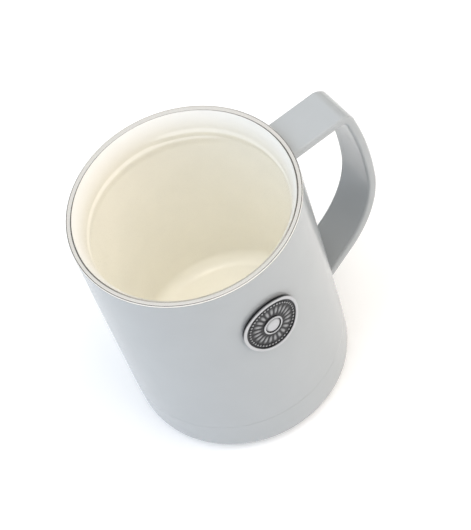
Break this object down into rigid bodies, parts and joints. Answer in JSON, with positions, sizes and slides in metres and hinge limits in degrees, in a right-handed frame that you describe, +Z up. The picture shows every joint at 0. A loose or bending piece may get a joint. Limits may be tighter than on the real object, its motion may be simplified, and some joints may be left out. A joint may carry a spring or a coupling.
{
  "type": "travel mug",
  "caption": "Open double-wall steel travel mug with a coated straight body, cream liner with a flared, threaded mouth, bare polished lip, flat strap handle and an oval cast medallion.",
  "frame": {"origin": "on the mug's axis, in the plane that it rests on", "axes": "+Z up along the mug's axis, +X towards the handle, -Y towards the medallion"},
  "size_m": [0.1157, 0.0879, 0.107],
  "materials": {
    "body_coat": "fine matte powder coat, pale blue-grey",
    "liner_coat": "smooth cream ceramic-look coating, satin",
    "polished_steel": "bare steel, turned and polished",
    "foil": "thin copper foil",
    "plain_steel": "plain pressed steel",
    "getter": "dark sintered metal",
    "seal_glass": "fused sealing glass",
    "pad_silicone": "matte silicone",
    "adhesive": "bonding film",
    "medallion_metal": "antiqued cast pewter, raised lines polished",
    "medallion_tape": "black foam tape"
  },
  "bodies": {
    "root": {"outer_shell": "body_coat", "base_cup": "body_coat", "handle_channel": "body_coat", "handle_plate": "body_coat", "inner_liner": "liner_coat", "lip_ring": "polished_steel", "liner_foil": "foil", "base_cover": "plain_steel", "upper_tongue": "plain_steel", "lower_tongue": "plain_steel", "getter_clip": "plain_steel", "getter_pellet": "getter", "vacuum_seal_bead": "seal_glass", "base_pad": "pad_silicone", "pad_adhesive": "adhesive", "medallion_plate": "medallion_metal", "medallion_tape": "medallion_tape"}
  },
  "joints": []
}
